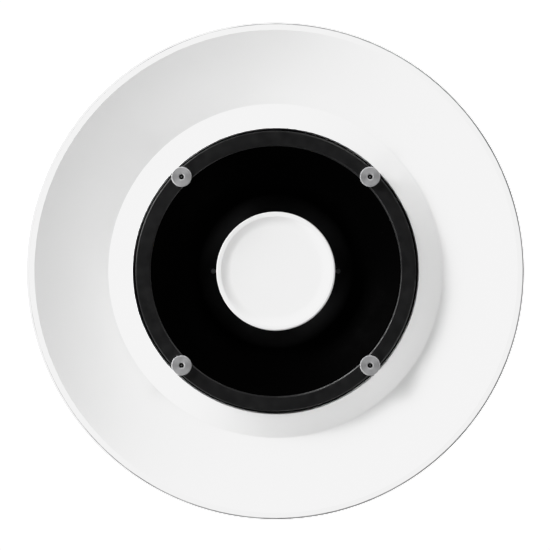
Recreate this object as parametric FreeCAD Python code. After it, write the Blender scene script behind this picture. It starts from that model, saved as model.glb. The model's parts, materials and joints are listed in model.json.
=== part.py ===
import FreeCAD, Part
import math
import os

# Round ceiling air diffuser with an adjustable centre disc. Millimetres, +Z up, room below.
# The origin is on the duct's axis, at the lower end of the spigot's plain wall.

# Heights of the main planes
CEILING_Z = -36.0
LIP_FRONT_Z = -41.0
LAND_Z = -32.3
SEAT_Z = 2.1
THROAT_TOP_Z = 18.5
SPIGOT_TOP_Z = 55.0

# Dish: lip, long hollow curve, valley, raised collar and the land behind the clamp ring
DISH_R = 198.8
LIP_INNER_R = 193.2
DISH_SHEET = 1.2
DISH_CURVE_R = 317.0
DISH_EDGE_SLOPE = 20.0
DISH_VALLEY_SLOPE = 9.5
LIP_EDGE_ROUND = 1.4
VALLEY_R = 134.4
VALLEY_ROUND = 2.4
COLLAR_CURVE_R = 587.0
COLLAR_OUTER_SLOPE = 26.0
COLLAR_INNER_SLOPE = 24.0
COLLAR_CREST_ROUND = 1.3
LAND_HOLE_R = 101.2

# Clamp ring, nozzle gasket and flange
CLAMP_R = 112.5
CLAMP_HOLE_R = 100.3
CLAMP_THICK = 2.6
CLAMP_OUTER_ROUND = 1.0
CLAMP_INNER_ROUND = 1.3
GASKET_THICK = 1.0
FLANGE_R = 113.5

# Nozzle
NOZZLE_SHEET = 1.6
BOWL_CURVE_R = 100.0
BOWL_TOP_SLOPE = 17.0
BOWL_RIM_SLOPE = 52.0
BOWL_INNER_R = 47.4
THROAT_R = 44.0
THROAT_FLANGE_R = 57.0

# Bolts on the clamp ring
BOLT_CIRCLE_R = 106.8
BOLT_ANGLES = (45, 135, 225, 315)
BOLT_R = 3.0
BOLT_HOLE_R = 3.25
BOLT_HEAD_R = 8.0
BOLT_HEAD_THICK = 3.0
BOLT_LENGTH = 20.0
SOCKET_FLATS = 4.0
SOCKET_DEPTH = 2.2
SOCKET_MOUTH_R = 3.0
NUT_FLATS = 10.0
NUT_THICK = 5.0
WASHER_R = 6.0
WASHER_THICK = 1.6

# Spigot and its seal
SPIGOT_R = 99.5
SPIGOT_SHEET = 0.9
SPIGOT_FLANGE_R = 113.4
GROOVE_DEPTH = 1.5
GROOVE_LOW_Z = -13.0
GROOVE_TOP_Z = 0.0
SPIGOT_TAPER = 1.0
SEAL_LIP_R = 101.3

# Hanger brackets
HANGER_CIRCLE_R = 150.0
HANGER_HOLE_R = 4.25
HANGER_WIDTH = 20.0
HANGER_SHEET = 2.0
HANGER_RISE = 14.0
HANGER_INNER_R = 101.0
HANGER_STEP_R = 118.0
HANGER_OUTER_R = 164.0

# Ceiling gasket
CEILING_GASKET_INNER_R = 193.8
CEILING_GASKET_R = 197.0
GASKET_OVERHANG = 0.3
LIP_TOP_GAP = 0.5

# Bridge, bush and spindle
BRIDGE_WIDTH = 22.0
BRIDGE_THICK = 2.5
BRIDGE_RIVET_R = 51.0
RIVET_R = 2.0
RIVET_HEAD_R = 4.0
RIVET_HEAD_THICK = 1.3
BUSH_R = 7.0
BUSH_FLANGE_R = 11.0
BUSH_FLANGE_THICK = 2.5
BUSH_LOW_Z = 12.5
BUSH_TOP_Z = 30.5
BUSH_NUT_FLATS = 20.0
BUSH_NUT_THICK = 4.0
SPINDLE_R = 5.0
SPINDLE_TOP_Z = 46.5
LOCK_NUT_FLATS = 17.0
LOCK_NUT_THICK = 5.0
STOP_THICK = 5.0
STOP_FLATS = 16.0
OPENING_TRAVEL = 8.0
RUNNING_GAP = 0.05
END_GAP = 0.4

# Valve disc and its seal
DISC_R = 48.0
DISC_CREST_Z = -21.5
DISC_HOLLOW = 2.2
DISC_FLAT_R = 37.0
DISC_CREST_R = 45.2
DISC_SHEET = 1.5
DISC_SKIRT = 6.5
DISC_EDGE_ROUND = 1.3
HUB_FLANGE_R = 15.0
HUB_FLANGE_THICK = 2.0
HUB_SHOULDER_R = 9.5
HUB_NECK_R = 8.0
HUB_NECK = 4.0
CLIP_R = 11.0
CLIP_THICK = 1.0
SEAL_PLATE_R = 47.0
SEAL_PLATE_THICK = 1.2
SEAL_INNER_R = 44.6
SEAL_OUTER_R = 47.2
SEAL_THICK = 3.0

AXIS = FreeCAD.Vector(0, 0, 1)
ORIGIN = FreeCAD.Vector(0, 0, 0)


def place(radius, height):
    return FreeCAD.Vector(radius, 0, height)


def unit(start, end):
    run = end - start
    return run * (1.0 / run.Length)


def rounded_edges(corners):
    """Straight runs joined by tangent arcs through (radius, height, rounding) corners."""
    points = [place(corner[0], corner[1]) for corner in corners]
    edges = []
    here = points[0]
    for before, corner, after, (_, _, rounding) in zip(points, points[1:], points[2:], corners[1:]):
        back, ahead = unit(corner, before), unit(corner, after)
        turn = math.pi - back.getAngle(ahead)
        if rounding > 0 and turn > 1e-6:
            reach = rounding * math.tan(turn / 2)
            start, end = corner + back * reach, corner + ahead * reach
            inward = unit(ORIGIN, back + ahead)
            middle = corner + inward * (rounding / math.cos(turn / 2) - rounding)
            if (start - here).Length > 1e-6:
                edges.append(Part.LineSegment(here, start).toShape())
            edges.append(Part.Arc(start, middle, end).toShape())
            here = end
        else:
            edges.append(Part.LineSegment(here, corner).toShape())
            here = corner
    if (points[-1] - here).Length > 1e-6:
        edges.append(Part.LineSegment(here, points[-1]).toShape())
    return edges


def face_of(corners):
    """A closed outline in the XZ plane; it starts and ends at the middle of its last side."""
    first, last = corners[0], corners[-1]
    middle = ((first[0] + last[0]) / 2, (first[1] + last[1]) / 2, 0)
    full = [(c[0], c[1], c[2] if len(c) > 2 else 0) for c in corners]
    return Part.Face(Part.Wire(rounded_edges([middle] + full + [middle])))


def turned(corners):
    """A solid of revolution about the duct's axis."""
    return face_of(corners).revolve(ORIGIN, AXIS, 360)


def beside(corners, thickness):
    """The path one sheet thickness to the right of its direction of travel."""
    moved = []
    count = len(corners)
    runs = [unit(place(*a[:2]), place(*b[:2])) for a, b in zip(corners, corners[1:])]
    for index, (radius, height, rounding) in enumerate(corners):
        before = runs[max(index - 1, 0)]
        after = runs[min(index, count - 2)]
        right_before = FreeCAD.Vector(before.z, 0, -before.x)
        right_after = FreeCAD.Vector(after.z, 0, -after.x)
        shift = (right_before + right_after) * (thickness / (1 + right_before.dot(right_after)))
        turns_right = before.x * after.z - before.z * after.x < 0
        inner = rounding - thickness if turns_right else rounding + thickness
        kept = max(inner, 0) if rounding > 0 else 0
        moved.append((radius + shift.x, height + shift.z, kept))
    return moved


def sheet_face(corners, thickness):
    """The section of a sheet whose visible side is the path and whose other side is to its right."""
    path = rounded_edges(corners)
    back = rounded_edges(beside(corners, thickness))
    first = Part.LineSegment(path[0].firstVertex().Point, back[0].firstVertex().Point).toShape()
    last = Part.LineSegment(path[-1].lastVertex().Point, back[-1].lastVertex().Point).toShape()
    return Part.Face(Part.Wire(Part.__sortEdges__([first] + path + [last] + back)))


def pressed(corners, thickness):
    return sheet_face(corners, thickness).revolve(ORIGIN, AXIS, 360)


def long_curve(start, slope, end_slope, curve_r, lead):
    """The corner of a long curve that leaves start, and the point where it ends.

    Slopes are in degrees above level, towards the axis; lead is the straight run at each end.
    """
    reach = curve_r * math.tan(math.radians(abs(slope - end_slope)) / 2) + lead
    near, far = math.radians(slope), math.radians(end_slope)
    corner = (start[0] - reach * math.cos(near), start[1] + reach * math.sin(near))
    end = (corner[0] - reach * math.cos(far), corner[1] + reach * math.sin(far))
    return corner, end


def meet(low, low_slope, high, high_slope):
    """Where two sloping lines cross; a slope is in degrees above level, towards the axis."""
    rise_low = math.tan(math.radians(low_slope))
    rise_high = math.tan(math.radians(high_slope))
    radius = (high[1] - low[1] + rise_high * high[0] - rise_low * low[0]) / (rise_high - rise_low)
    return radius, low[1] + rise_low * (low[0] - radius)


def washer(inner, outer, low, thickness, edge=0.0):
    high = low + thickness
    return turned([(inner, low), (outer, low, edge), (outer, high, edge), (inner, high)])


def rod(radius, low, high, edge=0.4):
    corners = [(0, low), (radius - edge, low), (radius, low + edge), (radius, high - edge)]
    return turned(corners + [(radius - edge, high), (0, high)])


def hexagon(flats, low, thickness):
    across = flats / math.sqrt(3)
    angles = [math.radians(60 * step) for step in range(7)]
    corners = [FreeCAD.Vector(across * math.cos(a), across * math.sin(a), low) for a in angles]
    return Part.Face(Part.makePolygon(corners)).extrude(AXIS * thickness)


def hex_nut(flats, bore, low, thickness):
    """A hexagon nut with chamfered corners on both faces."""
    corner, face = flats / math.sqrt(3), flats / 2 * 0.97
    drop = (corner - face) * math.tan(math.radians(30))
    high = low + thickness
    barrel = turned([(bore, low), (face, low), (corner, low + drop), (corner, high - drop),
                     (face, high), (bore, high)])
    return hexagon(flats, low, thickness).common(barrel)


# Places that follow from the dimensions above
DISH_CORNER, DISH_CURVE_END = long_curve((LIP_INNER_R, LIP_FRONT_Z), DISH_EDGE_SLOPE,
                                         DISH_VALLEY_SLOPE, DISH_CURVE_R, 0.3)
VALLEY_Z = DISH_CURVE_END[1] + (DISH_CURVE_END[0] - VALLEY_R) * math.tan(math.radians(DISH_VALLEY_SLOPE))
COLLAR_CORNER, COLLAR_CREST = long_curve((VALLEY_R, VALLEY_Z), -COLLAR_OUTER_SLOPE,
                                         -COLLAR_INNER_SLOPE, COLLAR_CURVE_R, 1.1)
FLANGE_BACK_Z = LAND_Z - GASKET_THICK
FLANGE_FRONT_Z = FLANGE_BACK_Z - NOZZLE_SHEET
CLAMP_FRONT_Z = FLANGE_FRONT_Z - CLAMP_THICK
SPIGOT_FLANGE_Z = LAND_Z + DISH_SHEET + SPIGOT_SHEET
HANGER_BASE_TOP_Z = SPIGOT_FLANGE_Z + HANGER_SHEET
NUT_LOW_Z = HANGER_BASE_TOP_Z + WASHER_THICK
DISC_BACK_Z = DISC_CREST_Z + DISC_HOLLOW + DISC_SHEET
DISC_SKIRT_TOP_Z = DISC_CREST_Z + DISC_SKIRT
SEAL_PLATE_Z = DISC_SKIRT_TOP_Z + END_GAP
HUB_TOP_Z = SEAL_PLATE_Z + HUB_NECK
CLIP_Z = SEAL_PLATE_Z + SEAL_PLATE_THICK + END_GAP
STOP_LOW_Z = BUSH_TOP_Z + OPENING_TRAVEL + END_GAP


def around(shape, circle_r, angles):
    """Copies of a shape made on the axis, moved out to a circle."""
    copies = []
    for angle in angles:
        copy = shape.copy()
        copy.translate(FreeCAD.Vector(circle_r, 0, 0))
        copy.rotate(ORIGIN, AXIS, angle)
        copies.append(copy)
    return copies


def drilled(shape, hole_r, circle_r, angles, low, high):
    cutter = Part.makeCylinder(hole_r, high - low, FreeCAD.Vector(0, 0, low))
    return shape.cut(around(cutter, circle_r, angles))


def dish():
    crest_r = COLLAR_CREST[0]
    path = [
        (DISH_R, CEILING_Z - LIP_TOP_GAP, 0),
        (DISH_R, LIP_FRONT_Z, LIP_EDGE_ROUND),
        (LIP_INNER_R, LIP_FRONT_Z, 1.6),
        (*DISH_CORNER, DISH_CURVE_R),
        (VALLEY_R, VALLEY_Z, VALLEY_ROUND),
        (*COLLAR_CORNER, COLLAR_CURVE_R),
        (*COLLAR_CREST, COLLAR_CREST_ROUND),
        (crest_r, LAND_Z, 0.5),
        (LAND_HOLE_R, LAND_Z, 0),
    ]
    sheet = pressed(path, DISH_SHEET)
    return drilled(sheet, BOLT_HOLE_R, BOLT_CIRCLE_R, BOLT_ANGLES, LAND_Z - 1, LAND_Z + 3)


def ceiling_gasket():
    """Foam in the lip's channel, squeezed out a little between the lip's edge and the ceiling."""
    low, lip_top = LIP_FRONT_Z + DISH_SHEET, CEILING_Z - LIP_TOP_GAP
    edge_r = DISH_R + GASKET_OVERHANG
    return turned([
        (CEILING_GASKET_INNER_R, low), (CEILING_GASKET_R, low, 0.6), (CEILING_GASKET_R, lip_top),
        (edge_r, lip_top), (edge_r, CEILING_Z), (CEILING_GASKET_INNER_R, CEILING_Z),
    ])


def duct_spigot():
    groove_r = SPIGOT_R - GROOVE_DEPTH
    path = [
        (SPIGOT_R - SPIGOT_TAPER, SPIGOT_TOP_Z, 0),
        (SPIGOT_R, SPIGOT_TOP_Z - 3, 0),
        (SPIGOT_R, GROOVE_TOP_Z, 1.1),
        (groove_r, GROOVE_TOP_Z - GROOVE_DEPTH, 0.6),
        (groove_r, GROOVE_LOW_Z + GROOVE_DEPTH, 0.6),
        (SPIGOT_R, GROOVE_LOW_Z, 1.1),
        (SPIGOT_R, SPIGOT_FLANGE_Z, 1.2),
        (SPIGOT_FLANGE_R, SPIGOT_FLANGE_Z, 0),
    ]
    flanged = pressed(path, SPIGOT_SHEET)
    low, high = SPIGOT_FLANGE_Z - 3, SPIGOT_FLANGE_Z + 3
    return drilled(flanged, BOLT_HOLE_R, BOLT_CIRCLE_R, BOLT_ANGLES, low, high)


def duct_seal():
    base_r = SPIGOT_R - GROOVE_DEPTH + RUNNING_GAP
    band_r = SPIGOT_R + 0.3
    low, high = GROOVE_LOW_Z + GROOVE_DEPTH + 0.8, GROOVE_TOP_Z - GROOVE_DEPTH - 0.8
    lip = 1.6
    return turned([
        (base_r, low), (band_r, low), (SEAL_LIP_R, low - 0.8, 0.3), (band_r, low + lip),
        (band_r, high - lip - 1), (SEAL_LIP_R, high - lip - 1.8, 0.3), (band_r, high - 1),
        (band_r, high), (base_r, high),
    ])


def rivet(low, high):
    """A blind rivet along the axis: a domed head below, a crushed tail above."""
    return turned([
        (0, low - RIVET_HEAD_THICK), (RIVET_HEAD_R * 0.6, low - RIVET_HEAD_THICK, 1.5),
        (RIVET_HEAD_R, low - 0.3), (RIVET_HEAD_R, low), (RIVET_R, low), (RIVET_R, high),
        (RIVET_R * 1.6, high), (RIVET_R * 1.5, high + 2.4, 1.0), (0, high + 2.4),
    ])


def nozzle_gasket():
    ring = washer(LAND_HOLE_R, FLANGE_R - 0.4, FLANGE_BACK_Z, GASKET_THICK)
    return drilled(ring, BOLT_HOLE_R, BOLT_CIRCLE_R, BOLT_ANGLES, FLANGE_BACK_Z - 1, LAND_Z + 1)


def nozzle():
    bowl_r = BOWL_CURVE_R
    top, rim = math.radians(BOWL_TOP_SLOPE), math.radians(BOWL_RIM_SLOPE)
    rim_point = (BOWL_INNER_R + bowl_r * (math.sin(rim) - math.sin(top)),
                 SEAT_Z - bowl_r * (math.cos(top) - math.cos(rim)))
    flange_point = meet(rim_point, BOWL_RIM_SLOPE, (FLANGE_R, FLANGE_FRONT_Z), 0)
    bowl_point = meet(rim_point, BOWL_RIM_SLOPE, (BOWL_INNER_R, SEAT_Z), BOWL_TOP_SLOPE)
    seat_rise = (BOWL_INNER_R - THROAT_R) * math.tan(top)
    path = [
        (FLANGE_R, FLANGE_FRONT_Z, 0),
        (*flange_point, 2.6),
        (*bowl_point, bowl_r),
        (THROAT_R, SEAT_Z + seat_rise, 2.0),
        (THROAT_R, THROAT_TOP_Z, 0.8),
        (THROAT_FLANGE_R, THROAT_TOP_Z, 0),
    ]
    funnel = pressed(path, NOZZLE_SHEET)
    funnel = drilled(funnel, BOLT_HOLE_R, BOLT_CIRCLE_R, BOLT_ANGLES, FLANGE_FRONT_Z - 1, LAND_Z)
    return drilled(funnel, RIVET_R + RUNNING_GAP, BRIDGE_RIVET_R, (0, 180), 0, THROAT_TOP_Z + 2)


def clamp_ring():
    back, front = FLANGE_FRONT_Z, CLAMP_FRONT_Z
    ring = turned([
        (CLAMP_HOLE_R, front, CLAMP_INNER_ROUND), (CLAMP_R, front, CLAMP_OUTER_ROUND),
        (CLAMP_R, back), (CLAMP_HOLE_R, back),
    ])
    return drilled(ring, BOLT_HOLE_R, BOLT_CIRCLE_R, BOLT_ANGLES, front - 1, back + 1)


def clamp_bolt():
    """Flat head below with a hexagon socket, shank upwards."""
    top = CLAMP_FRONT_Z
    face = top - BOLT_HEAD_THICK
    shank_end = top + BOLT_LENGTH
    mouth = SOCKET_MOUTH_R - SOCKET_FLATS / 2
    body = turned([
        (0, face), (BOLT_HEAD_R - 0.7, face), (BOLT_HEAD_R, face + 0.5, 0.3), (BOLT_HEAD_R, top),
        (BOLT_R, top), (BOLT_R, shank_end - 0.8), (BOLT_R - 0.8, shank_end), (0, shank_end),
    ])
    cone = turned([(0, face - 0.1), (SOCKET_MOUTH_R, face - 0.1), (SOCKET_MOUTH_R, face),
                   (SOCKET_MOUTH_R - mouth, face + mouth * 0.6), (0, face + mouth * 0.6)])
    return body.cut([cone, hexagon(SOCKET_FLATS, face - 0.1, SOCKET_DEPTH + 0.1)])


def hanger_bracket():
    """A Z-bracket: its foot is under a bolt's washer and its tab takes a hanging rod."""
    foot_z = SPIGOT_FLANGE_Z
    tab_z = foot_z + HANGER_RISE
    path = [
        (HANGER_OUTER_R, tab_z, 0),
        (HANGER_STEP_R, tab_z, 3.5),
        (HANGER_STEP_R, foot_z, 1.5),
        (HANGER_INNER_R, foot_z, 0),
    ]
    face = sheet_face(path, HANGER_SHEET)
    face.translate(FreeCAD.Vector(0, -HANGER_WIDTH / 2, 0))
    strip = face.extrude(FreeCAD.Vector(0, HANGER_WIDTH, 0))
    hole_z = tab_z - 10
    bolt_hole = Part.makeCylinder(BOLT_HOLE_R, 20, FreeCAD.Vector(BOLT_CIRCLE_R, 0, foot_z - 10))
    rod_hole = Part.makeCylinder(HANGER_HOLE_R, 20, FreeCAD.Vector(HANGER_CIRCLE_R, 0, hole_z))
    strip = strip.cut([bolt_hole, rod_hole])
    upright = [e for e in strip.Edges if abs(e.Length - HANGER_SHEET) < 0.01
               and e.BoundBox.XMin > HANGER_OUTER_R - 0.1]
    return strip.makeFillet(4.0, upright)


def bridge():
    """A flat bar with round ends across the top of the throat."""
    low, high = THROAT_TOP_Z, THROAT_TOP_Z + BRIDGE_THICK
    end_r = THROAT_FLANGE_R - 0.5
    half = BRIDGE_WIDTH / 2
    box = Part.makeBox(2 * end_r, BRIDGE_WIDTH, high - low, FreeCAD.Vector(-end_r, -half, low))
    bar = box.common(Part.makeCylinder(end_r, high - low, FreeCAD.Vector(0, 0, low)))
    pad = Part.makeCylinder(BUSH_FLANGE_R + 6, high - low, FreeCAD.Vector(0, 0, low))
    bore = Part.makeCylinder(BUSH_R + RUNNING_GAP, 20, FreeCAD.Vector(0, 0, low - 10))
    bar = bar.fuse(pad).removeSplitter().cut(bore)
    return drilled(bar, RIVET_R + RUNNING_GAP, BRIDGE_RIVET_R, (0, 180), low - 5, high + 5)


def bridge_rivets():
    low = THROAT_TOP_Z - NOZZLE_SHEET
    return around(rivet(low, THROAT_TOP_Z + BRIDGE_THICK), BRIDGE_RIVET_R, (0, 180))


def spindle_bush():
    bore = SPINDLE_R + RUNNING_GAP
    flange_low = THROAT_TOP_Z - BUSH_FLANGE_THICK
    return turned([
        (bore, BUSH_LOW_Z), (BUSH_R - 0.5, BUSH_LOW_Z), (BUSH_R, BUSH_LOW_Z + 0.5),
        (BUSH_R, flange_low), (BUSH_FLANGE_R, flange_low, 0.4), (BUSH_FLANGE_R, THROAT_TOP_Z),
        (BUSH_R, THROAT_TOP_Z), (BUSH_R, BUSH_TOP_Z - 0.8), (BUSH_R - 0.8, BUSH_TOP_Z),
        (bore, BUSH_TOP_Z),
    ])


def bush_nut():
    return hex_nut(BUSH_NUT_FLATS, BUSH_R + RUNNING_GAP, THROAT_TOP_Z + BRIDGE_THICK, BUSH_NUT_THICK)


def lock_nut():
    low = BUSH_LOW_Z - LOCK_NUT_THICK
    return hex_nut(LOCK_NUT_FLATS, SPINDLE_R + RUNNING_GAP, low, LOCK_NUT_THICK)


def spindle():
    return rod(SPINDLE_R, DISC_BACK_Z + 0.2, SPINDLE_TOP_Z, 0.8)


def spindle_stop():
    return hex_nut(STOP_FLATS, SPINDLE_R + 0.02, STOP_LOW_Z, STOP_THICK)


def valve_disc():
    crest, flat = DISC_CREST_Z, DISC_CREST_Z + DISC_HOLLOW
    path = [
        (DISC_R, DISC_SKIRT_TOP_Z, 0),
        (DISC_R, crest, DISC_EDGE_ROUND),
        (DISC_CREST_R - 0.9, crest, 1.6),
        (DISC_FLAT_R + 3.0, flat, 14.0),
        (0, flat, 0),
    ]
    return pressed(path, DISC_SHEET)


def disc_hub():
    bore = SPINDLE_R + 0.02
    flange_top = DISC_BACK_Z + HUB_FLANGE_THICK
    return turned([
        (bore, DISC_BACK_Z), (HUB_FLANGE_R, DISC_BACK_Z), (HUB_FLANGE_R, flange_top, 0.6),
        (HUB_SHOULDER_R, flange_top), (HUB_SHOULDER_R, SEAL_PLATE_Z - RUNNING_GAP),
        (HUB_NECK_R, SEAL_PLATE_Z - RUNNING_GAP), (HUB_NECK_R, HUB_TOP_Z - 0.5),
        (HUB_NECK_R - 0.5, HUB_TOP_Z), (bore, HUB_TOP_Z),
    ])


def seal_plate():
    return washer(HUB_NECK_R + RUNNING_GAP, SEAL_PLATE_R, SEAL_PLATE_Z, SEAL_PLATE_THICK)


def disc_seal():
    low = SEAL_PLATE_Z + SEAL_PLATE_THICK
    return washer(SEAL_INNER_R, SEAL_OUTER_R, low, SEAL_THICK, 0.5)


def seal_clip():
    """A circlip: a flat ring with a gap."""
    ring = washer(HUB_NECK_R, CLIP_R, CLIP_Z, CLIP_THICK)
    gap = Part.makeBox(CLIP_R, 4.0, CLIP_THICK + 2, FreeCAD.Vector(HUB_NECK_R - 1, -2.0, CLIP_Z - 1))
    return ring.cut(gap)


NODES = {
    "dish": dish(),
    "ceiling_gasket": ceiling_gasket(),
    "duct_spigot": duct_spigot(),
    "duct_seal": duct_seal(),
    "nozzle_gasket": nozzle_gasket(),
    "nozzle": nozzle(),
    "clamp_ring": clamp_ring(),
    "clamp_bolts": around(clamp_bolt(), BOLT_CIRCLE_R, BOLT_ANGLES),
    "hanger_brackets": around(hanger_bracket(), 0, BOLT_ANGLES),
    "bolt_washers": around(washer(BOLT_HOLE_R, WASHER_R, HANGER_BASE_TOP_Z, WASHER_THICK),
                           BOLT_CIRCLE_R, BOLT_ANGLES),
    "bolt_nuts": around(hex_nut(NUT_FLATS, BOLT_R + 0.02, NUT_LOW_Z, NUT_THICK),
                        BOLT_CIRCLE_R, BOLT_ANGLES),
    "bridge": bridge(),
    "bridge_rivets": bridge_rivets(),
    "spindle_bush": spindle_bush(),
    "bush_nut": bush_nut(),
    "lock_nut": lock_nut(),
    "spindle": spindle(),
    "spindle_stop": spindle_stop(),
    "valve_disc": valve_disc(),
    "disc_hub": disc_hub(),
    "seal_plate": seal_plate(),
    "disc_seal": disc_seal(),
    "seal_clip": seal_clip(),
}

os.makedirs("parts", exist_ok=True)
for name, shape in NODES.items():
    if isinstance(shape, list):
        shape = Part.makeCompound(shape)
    print(name, len(shape.Solids), shape.isValid(), round(shape.Volume, 1))
    shape.exportStep(f"parts/{name}.step")
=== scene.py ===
"""The look of a ceiling air diffuser: coats and metals, detailed bolts and spindle, lamps and camera."""

import json
import math

import bmesh
import bpy
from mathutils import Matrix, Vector

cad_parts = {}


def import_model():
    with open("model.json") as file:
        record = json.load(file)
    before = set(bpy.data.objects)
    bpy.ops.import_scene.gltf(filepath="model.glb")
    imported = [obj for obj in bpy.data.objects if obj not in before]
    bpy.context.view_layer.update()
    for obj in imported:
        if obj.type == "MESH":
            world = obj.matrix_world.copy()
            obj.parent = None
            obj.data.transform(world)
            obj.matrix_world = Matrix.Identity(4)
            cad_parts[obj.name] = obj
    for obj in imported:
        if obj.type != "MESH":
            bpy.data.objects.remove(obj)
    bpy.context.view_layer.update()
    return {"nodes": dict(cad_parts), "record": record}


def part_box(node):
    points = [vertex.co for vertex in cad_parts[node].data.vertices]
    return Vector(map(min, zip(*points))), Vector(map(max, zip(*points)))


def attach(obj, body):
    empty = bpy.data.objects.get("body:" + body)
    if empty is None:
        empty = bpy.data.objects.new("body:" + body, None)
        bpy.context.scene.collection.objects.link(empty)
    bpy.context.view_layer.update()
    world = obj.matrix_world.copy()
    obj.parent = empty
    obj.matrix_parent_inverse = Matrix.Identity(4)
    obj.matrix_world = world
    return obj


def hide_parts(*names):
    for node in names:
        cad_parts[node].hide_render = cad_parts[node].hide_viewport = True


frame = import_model()
NODES = frame["nodes"]

MM = 0.001
TAU = 2 * math.pi

# Camera: straight up at the face, image right is +X and image top is -Y
CAMERA_DISTANCE = 2.2
CAMERA_REACH = (0.05, 20.0)
SENSOR_WIDTH_MM = 36.0
VIEW_WIDTH = 0.44
CAMERA_OFFSET = Vector((-0.0006, 0.0031))

# Floor, far below the face
FLOOR_DEPTH = 2.6
FLOOR_SIZE = 4.0

# World light: what the camera sees, what lights the face from below and what lights the back.
# The light changes from one to the other between two heights of a ray's direction.
BACKDROP = 1.05
AMBIENT_BELOW = 0.022
AMBIENT_ABOVE = 0.4
AMBIENT_FROM = 0.2
AMBIENT_TO = 0.6

# Lamps: name, turn from image left towards image top and tilt from the object's axis in degrees,
# size in metres and power in watts
LAMP_DISTANCE = 4.0
LAMPS = (
    ("key_light", 31, 82.4, 2.6, 312.0),
    ("fill_light", 225, 73, 1.6, 28.0),
    ("side_light_a", 315, 60, 1.6, 38.0),
    ("side_light_b", 135, 60, 1.6, 38.0),
)

# Tone: straight up to a soft shoulder for the lit white coat, then up to the backdrop's white
TONE_POINTS = ((0.0, 0.0), (0.2, 0.4), (0.405, 0.81), (0.436, 0.856), (0.478, 0.886), (0.548, 0.903),
               (0.845, 0.911), (0.92, 0.916), (1.0, 1.0))

# Clamp bolts, M6
BOLT_ANGLES = (45, 135, 225, 315)
BOLT_HEAD_R = 8.0 * MM
BOLT_HEAD_THICK = 3.0 * MM
HEAD_CORNER = 0.15 * MM
RIM_WIDTH = 1.3 * MM
RIM_RISE = 0.25 * MM
RIM_STEPS = 6
SOCKET_MOUTH_R = 3.0 * MM
SOCKET_APOTHEM = 2.0 * MM
SOCKET_CONE = 0.3
SOCKET_DEPTH = 2.2 * MM
SOCKET_TURN = 17
DRILL_R = 1.7 * MM
DRILL_POINT_R = 0.05 * MM
DRILL_POINT_DEPTH = 0.5 * MM
BOLT_R = 3.0 * MM
BOLT_PITCH = 1.0 * MM
BOLT_THREAD = 12.0 * MM
BOLT_THREAD_DEPTH = 0.5 * MM
BOLT_THREAD_STEP = 0.125 * MM
BOLT_CREST = 0.1

# Rings that the tool left on a bolt's face. The shape is shares of the pitch and of the depth.
TURNING_PITCH = 0.3 * MM
TURNING_DEPTH = 0.014 * MM
TURNING_SHAPE = ((0.0, 0.0), (0.25, 0.7), (0.5, 1.0), (0.75, 0.3))
TURNING_START = SOCKET_MOUTH_R + 0.2 * MM
TURNING_END = BOLT_HEAD_R - RIM_WIDTH - 0.1 * MM

# Spindle, 10 mm trapezoidal thread with two starts
SPINDLE_R = 5.0 * MM
SPINDLE_LEAD = 4.0 * MM
SPINDLE_STARTS = 2
SPINDLE_THREAD_DEPTH = 0.9 * MM
SPINDLE_THREAD_STEP = 0.2 * MM
SPINDLE_CREST = 0.3
SPINDLE_PLAIN = 6.0 * MM

# Both threads
CHAMFER = 0.8 * MM

# Turned pieces: faces round the axis, and the angle in degrees that makes an edge sharp
ROUND_FACES = 72
SHARP_ANGLE = 28

# The dish's box: the face is its lowest plane
DISH_LOW, DISH_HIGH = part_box("dish")
FACE_Z = DISH_LOW.z

# Coats: the width of painted shade at the lip's rounded outer edge, a radius past the whole object, and
# the painted glow of the disc's bounced light round the disc
LIP_SHADE_WIDTH = 1.7 * MM
EDGE_SHADE_FADE = 0.5 * MM
NO_EDGE_SHADE_R = 1.0
GLOW_FROM, GLOW_TO = 48.5 * MM, 63.0 * MM

# Painted shade in a bolt's socket: it ends at the wall, and leaves a painted highlight in the middle
SOCKET_SHADE_END = (1.7 * MM, 2.3 * MM)
SOCKET_HIGHLIGHT_R = (0.4 * MM, 0.9 * MM)

# Sockets of the Mix node when it mixes colours
MIX_FACTOR, MIX_DARK, MIX_LIGHT, MIX_RESULT = 0, 6, 7, 2


# ---------------------------------------------------------------- shader helpers

class Nodes:
    """A node tree under construction: nodes are added by type and joined by their sockets."""

    def __init__(self, tree):
        self.tree = tree

    def feed(self, target, source):
        """Join another node's output to an input, or set the input to a value."""
        if isinstance(source, bpy.types.NodeSocket):
            self.tree.links.new(source, target)
        else:
            target.default_value = source

    def add(self, kind, links=(), **values):
        made = self.tree.nodes.new(kind)
        for name, value in values.items():
            setattr(made, name, value)
        for socket, source in dict(links).items():
            self.feed(made.inputs[socket], source)
        return made

    def ramp(self, factor, low, high, low_value, high_value):
        links = {"Value": factor, "From Min": low, "From Max": high,
                 "To Min": low_value, "To Max": high_value}
        return self.add("ShaderNodeMapRange", links=links).outputs["Result"]


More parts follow.
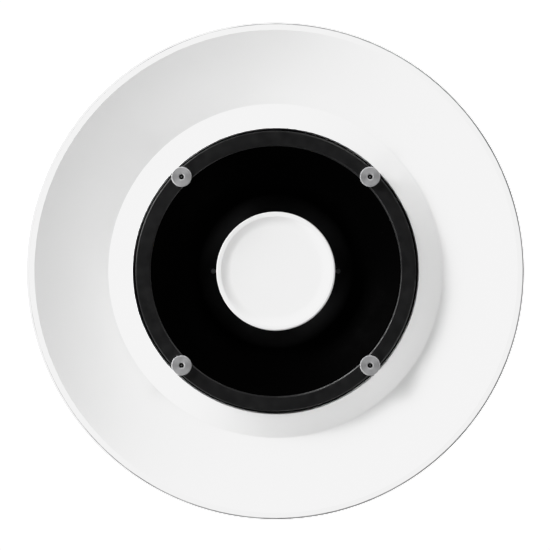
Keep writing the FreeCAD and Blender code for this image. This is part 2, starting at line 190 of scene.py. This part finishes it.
class Shader(Nodes):
    """A material under construction."""

    def __init__(self, name, base, roughness, metallic=0.0):
        self.material = bpy.data.materials.new(name)
        self.material.use_nodes = True
        super().__init__(self.material.node_tree)
        self.surface = self.tree.nodes["Principled BSDF"]
        self.set("Base Color", (*base, 1.0))
        self.set("Roughness", roughness)
        self.set("Metallic", metallic)
        self.place = self.add("ShaderNodeTexCoord").outputs["Object"]

    def set(self, socket, value):
        self.surface.inputs[socket].default_value = value

    def join(self, source, socket):
        self.tree.links.new(source, self.surface.inputs[socket])

    def math(self, operation, first, second):
        made = self.add("ShaderNodeMath", operation=operation, links={0: first, 1: second})
        return made.outputs[0]

    def noise(self, scale, detail=3.0, place=None):
        links = {"Vector": place or self.place, "Scale": scale, "Detail": detail}
        return self.add("ShaderNodeTexNoise", links=links).outputs["Fac"]

    def cells(self, scale, output="Distance"):
        links = {"Vector": self.place, "Scale": scale}
        return self.add("ShaderNodeTexVoronoi", links=links).outputs[output]

    def tint(self, factor, dark, light):
        """A colour between dark and light, each of them a colour or another node's output."""
        dark, light = [side if isinstance(side, bpy.types.NodeSocket) else (*side, 1.0)
                       for side in (dark, light)]
        links = {MIX_FACTOR: factor, MIX_DARK: dark, MIX_LIGHT: light}
        return self.add("ShaderNodeMix", links=links, data_type="RGBA").outputs[MIX_RESULT]

    def bump(self, height, distance, strength):
        links = {"Height": height, "Distance": distance, "Strength": strength}
        self.join(self.add("ShaderNodeBump", links=links).outputs["Normal"], "Normal")

    def speckled(self, under, scale, size, speck):
        """Sparse specks: a spot in the middle of a few of the cells."""
        spot = self.ramp(self.cells(scale), size, size * 0.6, 0.0, 1.0)
        picked = self.add("ShaderNodeSeparateColor", links={"Color": self.cells(scale, output="Color")})
        rare = self.ramp(picked.outputs[0], 0.8, 0.95, 0.0, 1.0)
        return self.tint(self.math("MULTIPLY", spot, rare), under, speck)

    def radius(self):
        """Distance from the object's own axis."""
        flat = self.add("ShaderNodeVectorMath", operation="MULTIPLY",
                        links={0: self.place, 1: (1.0, 1.0, 0.0)})
        return self.add("ShaderNodeVectorMath", operation="LENGTH",
                        links={0: flat.outputs[0]}).outputs["Value"]

    def rings_place(self, scale):
        """Coordinates that change only with distance from the object's own axis."""
        scaled = self.math("MULTIPLY", self.radius(), scale)
        return self.add("ShaderNodeCombineXYZ", links={"X": scaled}).outputs[0]


# ---------------------------------------------------------------- materials

def white_coat(name, shade_from_r):
    """Satin powder coat with an orange-peel skin, darkened to a patchy grey outside the given radius:
    painted shade for the lip's rounded outer edge.
    """
    made = Shader(name, (0.87, 0.87, 0.87), 0.42)
    cloud = made.noise(14.0, 4.0)
    coat = made.tint(cloud, (0.855, 0.855, 0.853), (0.885, 0.885, 0.883))
    # painted shade: the lip's rounded outer edge is darkened grey in patches
    lip_edge_shade = made.ramp(made.radius(), shade_from_r, shade_from_r + EDGE_SHADE_FADE, 0.0, 1.0)
    patchy = made.ramp(made.noise(35.0, 3.0), 0.35, 0.65, 0.7, 1.0)
    made.join(made.tint(made.math("MULTIPLY", lip_edge_shade, patchy), coat, (0.3, 0.3, 0.305)), "Base Color")
    made.join(made.ramp(made.noise(60.0), 0.3, 0.7, 0.38, 0.48), "Roughness")
    made.bump(made.noise(900.0, 2.0), 0.02 * MM, 0.6)
    return made.material


def black_coat():
    """Semi-matt stove coat with faint cloudiness and a few pale specks."""
    made = Shader("black_ring_coat", (0.006, 0.006, 0.006), 0.42)
    made.set("Specular IOR Level", 0.3)
    cloud = made.noise(30.0, 4.0)
    tone = made.tint(cloud, (0.003, 0.003, 0.0032), (0.007, 0.007, 0.0073))
    made.join(made.speckled(tone, 420.0, 0.1, (0.02, 0.02, 0.021)), "Base Color")
    made.join(made.ramp(made.noise(140.0), 0.3, 0.7, 0.36, 0.5), "Roughness")
    made.bump(made.noise(1400.0, 2.0), 0.02 * MM, 0.5)
    return made.material


def black_nozzle():
    """Very dark satin plastic, a little greyer next to the disc: painted glow of light bounced from the
    white disc.
    """
    made = Shader("black_nozzle_plastic", (0.001, 0.001, 0.001), 0.5)
    made.set("Specular IOR Level", 0.003)
    # painted glow: the base colour turns greyer towards the disc, standing in for the disc's bounced
    # light
    disc_glow = made.ramp(made.radius(), GLOW_FROM, GLOW_TO, 1.0, 0.0)
    cloud = made.ramp(made.noise(20.0, 4.0), 0.3, 0.7, 0.7, 1.3)
    glow_tone = made.tint(made.math("MULTIPLY", disc_glow, cloud), (0.0004, 0.0004, 0.0004),
                      (0.016, 0.016, 0.0165))
    made.join(made.speckled(glow_tone, 360.0, 0.11, (0.008, 0.008, 0.0085)), "Base Color")
    made.join(made.ramp(made.noise(90.0), 0.3, 0.7, 0.45, 0.6), "Roughness")
    made.bump(made.noise(1100.0, 2.0), 0.02 * MM, 0.4)
    return made.material


def turned_steel():
    """Face-turned steel with the tool's rings, and highlights stretched a little. The socket is darkened
    with painted shade, apart from a painted highlight in its middle."""
    made = Shader("turned_bolt_head", (0.64, 0.64, 0.65), 0.42, metallic=1.0)
    made.set("Anisotropic", 0.4)
    around = made.add("ShaderNodeTangent", direction_type="RADIAL", axis="Z")
    made.join(around.outputs["Tangent"], "Tangent")
    rings = made.noise(9.0, 5.0, made.rings_place(900.0))
    steel = made.tint(rings, (0.56, 0.56, 0.57), (0.74, 0.74, 0.75))
    away = made.radius()
    # painted shade inside the socket, with a painted highlight left at its middle
    socket_shade = made.math("MULTIPLY", made.ramp(away, *SOCKET_SHADE_END, 1.0, 0.0),
                      made.ramp(away, *SOCKET_HIGHLIGHT_R, 0.0, 1.0))
    made.join(made.tint(socket_shade, steel, (0.012, 0.012, 0.013)), "Base Color")
    made.join(made.ramp(rings, 0.3, 0.7, 0.42, 0.56), "Roughness")
    return made.material


def galvanised():
    made = Shader("galvanised_sheet", (0.6, 0.62, 0.64), 0.4, metallic=1.0)
    spangle = made.cells(170.0, output="Color")
    grain = made.add("ShaderNodeSeparateColor", links={"Color": spangle}).outputs[0]
    made.join(made.tint(grain, (0.5, 0.52, 0.54), (0.6, 0.62, 0.64)), "Base Color")
    made.join(made.ramp(grain, 0.0, 1.0, 0.4, 0.5), "Roughness")
    made.bump(made.noise(500.0, 3.0), 0.02 * MM, 0.4)
    return made.material


def bright_zinc():
    made = Shader("zinc_plate", (0.66, 0.67, 0.69), 0.28, metallic=1.0)
    cloud = made.noise(220.0, 3.0)
    made.join(made.tint(cloud, (0.58, 0.59, 0.62), (0.72, 0.72, 0.72)), "Base Color")
    made.join(made.ramp(made.noise(400.0), 0.3, 0.7, 0.2, 0.36), "Roughness")
    return made.material


def plain_aluminium():
    made = Shader("drawn_aluminium", (0.76, 0.77, 0.78), 0.34, metallic=1.0)
    made.join(made.ramp(made.noise(300.0), 0.3, 0.7, 0.26, 0.42), "Roughness")
    made.bump(made.noise(900.0, 2.0), 0.01 * MM, 0.4)
    return made.material


def turned_brass():
    made = Shader("turned_brass", (0.72, 0.52, 0.22), 0.3, metallic=1.0)
    cloud = made.noise(160.0, 3.0)
    made.join(made.tint(cloud, (0.62, 0.43, 0.17), (0.78, 0.58, 0.27)), "Base Color")
    made.join(made.ramp(made.noise(400.0), 0.3, 0.7, 0.22, 0.4), "Roughness")
    return made.material


def black_rubber():
    made = Shader("black_rubber", (0.02, 0.02, 0.021), 0.62)
    made.join(made.tint(made.noise(120.0, 3.0), (0.014, 0.014, 0.015), (0.03, 0.03, 0.032)), "Base Color")
    made.bump(made.noise(1200.0, 2.0), 0.03 * MM, 0.6)
    return made.material


def grey_foam():
    made = Shader("grey_foam", (0.12, 0.12, 0.125), 0.85)
    pores = made.cells(1500.0)
    made.join(made.tint(pores, (0.06, 0.06, 0.065), (0.16, 0.16, 0.165)), "Base Color")
    made.bump(pores, 0.2 * MM, 0.8)
    return made.material


def spring_steel():
    made = Shader("phosphated_steel", (0.2, 0.2, 0.21), 0.45, metallic=1.0)
    made.join(made.ramp(made.noise(500.0), 0.3, 0.7, 0.36, 0.55), "Roughness")
    return made.material


MATERIALS = {
    "white_coat": white_coat("white_disc_coat", NO_EDGE_SHADE_R),
    "black_coat": black_coat(),
    "black_plastic": black_nozzle(),
    "turned_steel": turned_steel(),
    "galvanised": galvanised(),
    "zinc": bright_zinc(),
    "aluminium": plain_aluminium(),
    "brass": turned_brass(),
    "black_rubber": black_rubber(),
    "grey_foam": grey_foam(),
    "spring_steel": spring_steel(),
}


def dress_cad_nodes():
    for part in frame["record"]["subparts"]:
        NODES[part["node"]].material_slots[0].material = MATERIALS[part["material_slot"]]
    # the dish's coat gets painted shade on its lip's rounded outer edge
    dish_coat = white_coat("white_dish_coat", DISH_HIGH.x - LIP_SHADE_WIDTH)
    NODES["dish"].material_slots[0].material = dish_coat


# ---------------------------------------------------------------- detailed pieces

def turned_mesh(name, profile):
    """A closed surface of revolution about Z. A profile row is a height and a radius, or for a
    row that isn't round, functions of the angle that give them."""
    made = bmesh.new()
    rows = []
    for height, radius in profile:
        row = []
        for step in range(ROUND_FACES):
            angle = TAU * step / ROUND_FACES
            out = radius(angle) if callable(radius) else radius
            up = height(angle) if callable(height) else height
            row.append(made.verts.new((out * math.cos(angle), out * math.sin(angle), up)))
        rows.append(row)
    for lower, upper in zip(rows, rows[1:]):
        for step in range(ROUND_FACES):
            after = (step + 1) % ROUND_FACES
            made.faces.new((lower[step], lower[after], upper[after], upper[step]))
    made.faces.new(list(reversed(rows[0])))
    made.faces.new(rows[-1])
    bmesh.ops.recalc_face_normals(made, faces=made.faces)
    mesh = bpy.data.meshes.new(name)
    made.to_mesh(mesh)
    made.free()
    mesh.shade_smooth()
    mesh.set_sharp_from_angle(angle=math.radians(SHARP_ANGLE))
    return mesh


def hexagon_radius(angle, apothem):
    """How far a hexagon's side is from its middle, in the direction of the angle."""
    return apothem / math.cos((angle + TAU / 12) % (TAU / 6) - TAU / 12)


def thread_rows(low, high, radius, depth, lead, starts, step, flat):
    """Rows of a thread, which fades out over one pitch at each end. flat is the share of the
    pitch that is crest, and the same share is root."""
    pitch = lead / starts

    def at(height):
        def out(angle):
            phase = ((height - lead * angle / TAU) / pitch) % 1.0
            flank = abs(phase - 0.5) * 2
            rise = min(max((flank - flat) / (1 - 2 * flat), 0.0), 1.0)
            fade = min(1.0, (height - low) / pitch, (high - height) / pitch)
            return radius - depth * rise * max(fade, 0.0)
        return out

    count = round((high - low) / step)
    heights = [low + (high - low) * index / count for index in range(count + 1)]
    return [(height, at(height)) for height in heights]


def clamp_bolts():
    low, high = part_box("clamp_bolts")
    face, end = low.z, high.z
    under = face + BOLT_HEAD_THICK
    circle_r = (high.x - BOLT_HEAD_R) / math.cos(math.radians(BOLT_ANGLES[0]))

    def hex_out(angle):
        return hexagon_radius(angle, SOCKET_APOTHEM)

    def hex_top(angle):
        return face + SOCKET_CONE * (SOCKET_MOUTH_R - hex_out(angle))

    bottom = face + SOCKET_DEPTH
    profile = [(bottom + DRILL_POINT_DEPTH, DRILL_POINT_R), (bottom, DRILL_R), (bottom, hex_out),
               (hex_top, hex_out), (face, SOCKET_MOUTH_R)]
    for groove in range(round((TURNING_END - TURNING_START) / TURNING_PITCH)):
        for along, deep in TURNING_SHAPE:
            out = TURNING_START + (groove + along) * TURNING_PITCH
            profile.append((face + TURNING_DEPTH * deep, out))
    for step in range(RIM_STEPS + 1):
        turn = TAU / 4 * step / RIM_STEPS
        height = face + RIM_RISE * (1 - math.cos(turn))
        profile.append((height, BOLT_HEAD_R - RIM_WIDTH * (1 - math.sin(turn))))
    profile += [(under - HEAD_CORNER, BOLT_HEAD_R), (under, BOLT_HEAD_R - HEAD_CORNER), (under, BOLT_R)]
    profile += thread_rows(end - BOLT_THREAD, end - CHAMFER, BOLT_R, BOLT_THREAD_DEPTH,
                           BOLT_PITCH, 1, BOLT_THREAD_STEP, BOLT_CREST)
    profile.append((end, BOLT_R - CHAMFER))
    mesh = turned_mesh("clamp_bolt", profile)
    mesh.materials.append(MATERIALS["turned_steel"])
    for index, angle in enumerate(BOLT_ANGLES):
        turn = math.radians(angle)
        made = bpy.data.objects.new(f"clamp_bolt_{index + 1}", mesh)
        made.location = (circle_r * math.cos(turn), circle_r * math.sin(turn), 0)
        made.rotation_euler.z = turn + math.radians(SOCKET_TURN * index)
        bpy.context.scene.collection.objects.link(made)
        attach(made, "housing")
        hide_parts("clamp_bolts")


def spindle():
    low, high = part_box("spindle")
    profile = [(low.z, SPINDLE_R - CHAMFER), (low.z + CHAMFER, SPINDLE_R)]
    profile += thread_rows(low.z + SPINDLE_PLAIN, high.z - CHAMFER, SPINDLE_R, SPINDLE_THREAD_DEPTH,
                           SPINDLE_LEAD, SPINDLE_STARTS, SPINDLE_THREAD_STEP, SPINDLE_CREST)
    profile.append((high.z, SPINDLE_R - CHAMFER))
    made = bpy.data.objects.new("threaded_spindle", turned_mesh("threaded_spindle", profile))
    made.data.materials.append(MATERIALS["zinc"])
    bpy.context.scene.collection.objects.link(made)
    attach(made, "disc")
    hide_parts("spindle")


# ---------------------------------------------------------------- stage, lights and camera

def floor():
    """A pale floor that only the camera sees."""
    mesh = bpy.data.meshes.new("studio_floor")
    grid = bmesh.new()
    bmesh.ops.create_grid(grid, x_segments=8, y_segments=8, size=FLOOR_SIZE)
    grid.to_mesh(mesh)
    grid.free()
    made = bpy.data.objects.new("studio_floor", mesh)
    made.location.z = FACE_Z - FLOOR_DEPTH
    bpy.context.scene.collection.objects.link(made)
    paint = Shader("pale_floor", (0.8, 0.8, 0.8), 0.7)
    paint.join(paint.tint(paint.noise(3.0), (0.77, 0.77, 0.77), (0.82, 0.82, 0.82)), "Base Color")
    mesh.materials.append(paint.material)
    for ray in ("diffuse", "glossy", "transmission", "shadow"):
        setattr(made, f"visible_{ray}", False)


def world():
    """White to the camera, dim from below and brighter from above for everything else."""
    made = bpy.data.worlds.new("studio")
    made.use_nodes = True
    nodes = Nodes(made.node_tree)
    background = nodes.tree.nodes["Background"]
    nodes.feed(background.inputs["Color"], (1.0, 1.0, 1.0, 1.0))
    direction = nodes.add("ShaderNodeTexCoord").outputs["Generated"]
    height = nodes.add("ShaderNodeSeparateXYZ", links={0: direction}).outputs["Z"]
    light = nodes.ramp(height, AMBIENT_FROM, AMBIENT_TO, AMBIENT_BELOW, AMBIENT_ABOVE)
    seen = nodes.add("ShaderNodeLightPath").outputs["Is Camera Ray"]
    nodes.feed(background.inputs["Strength"], nodes.ramp(seen, 0.0, 1.0, light, BACKDROP))
    bpy.context.scene.world = made


def softbox(name, turn, tilt, size, power):
    """A square light aimed at the face. turn is measured from image left towards image top,
    tilt from the object's axis."""
    turn, tilt = math.radians(turn), math.radians(tilt)
    aim = Vector((0, 0, FACE_Z))
    away = Vector((-math.cos(turn) * math.sin(tilt), -math.sin(turn) * math.sin(tilt), -math.cos(tilt)))
    lamp = bpy.data.lights.new(name, "AREA")
    lamp.shape = "SQUARE"
    lamp.size = size
    lamp.energy = power
    made = bpy.data.objects.new(name, lamp)
    made.location = aim + away * LAMP_DISTANCE
    made.rotation_mode = "QUATERNION"
    made.rotation_quaternion = (-away).to_track_quat("-Z", "Y")
    bpy.context.scene.collection.objects.link(made)


def tone():
    view = bpy.context.scene.view_settings
    view.view_transform = "Standard"
    view.use_curve_mapping = True
    combined = view.curve_mapping.curves[3]
    for level, shown in TONE_POINTS[1:-1]:
        combined.points.new(level, shown)
    for point, place in zip(combined.points, TONE_POINTS):
        point.location = place
        point.handle_type = "AUTO_CLAMPED"
    view.curve_mapping.update()


def camera():
    data = bpy.data.cameras.new("camera")
    data.sensor_width = SENSOR_WIDTH_MM
    data.lens = SENSOR_WIDTH_MM * CAMERA_DISTANCE / VIEW_WIDTH
    data.clip_start, data.clip_end = CAMERA_REACH
    made = bpy.data.objects.new("camera", data)
    made.location = (CAMERA_OFFSET.x, CAMERA_OFFSET.y, FACE_Z - CAMERA_DISTANCE)
    made.rotation_euler = (math.pi, 0, 0)
    bpy.context.scene.collection.objects.link(made)
    bpy.context.scene.camera = made


dress_cad_nodes()
floor()
world()
for lamp in LAMPS:
    softbox(*lamp)
camera()
tone()
clamp_bolts()
spindle()
